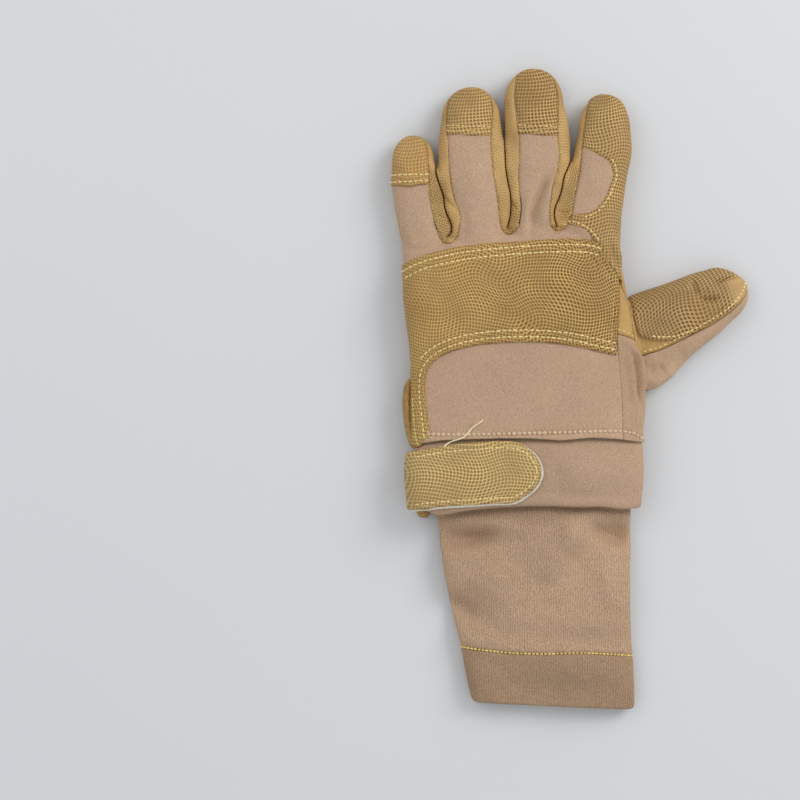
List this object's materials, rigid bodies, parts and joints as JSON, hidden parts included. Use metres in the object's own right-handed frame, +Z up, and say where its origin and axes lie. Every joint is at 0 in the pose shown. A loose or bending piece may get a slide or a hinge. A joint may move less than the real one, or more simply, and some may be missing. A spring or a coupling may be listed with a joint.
{
  "type": "flame-resistant tactical glove",
  "caption": "Empty left-hand work glove lying palm down: knitted back, leather palm, finger caps, knuckle guard, wrist strap and long knitted gauntlet.",
  "frame": {"origin": "middle of the glove's bounding box, on the surface that it lies on", "axes": "+Z up, out of the back of the hand; +Y along the glove from the gauntlet to the fingertips; +X towards the thumb"},
  "size_m": [0.1738, 0.3084, 0.0243],
  "materials": {
    "fabric": "matt fine-ribbed aramid knit, dusty tan",
    "gauntlet_fabric": "matt fine-ribbed aramid knit, slightly browner tan",
    "leather": "smooth goatskin, golden tan, satin",
    "pebbled_leather": "pebbled goatskin, golden tan, satin",
    "embossed_leather": "leather pressed with waving rows of small dots, golden tan, satin",
    "hook_pad": "pale grey hook-and-loop pad, matt"
  },
  "bodies": {
    "root": {"back_fabric": "fabric", "side_panel": "fabric", "thumb_fabric": "fabric", "wrist_band": "fabric", "gauntlet": "gauntlet_fabric", "gauntlet_hem": "gauntlet_fabric", "palm_leather": "leather", "thumb_leather": "leather", "side_roll": "leather", "strap_tab": "leather", "strip_little_ring": "pebbled_leather", "strip_ring_middle": "pebbled_leather", "strip_middle_index": "pebbled_leather", "knuckle_guard": "embossed_leather", "index_guard": "embossed_leather", "thumb_guard": "embossed_leather", "little_cap": "embossed_leather", "ring_cap": "embossed_leather", "middle_cap": "embossed_leather", "wrist_strap": "embossed_leather", "strap_backing": "hook_pad"}
  },
  "joints": []
}
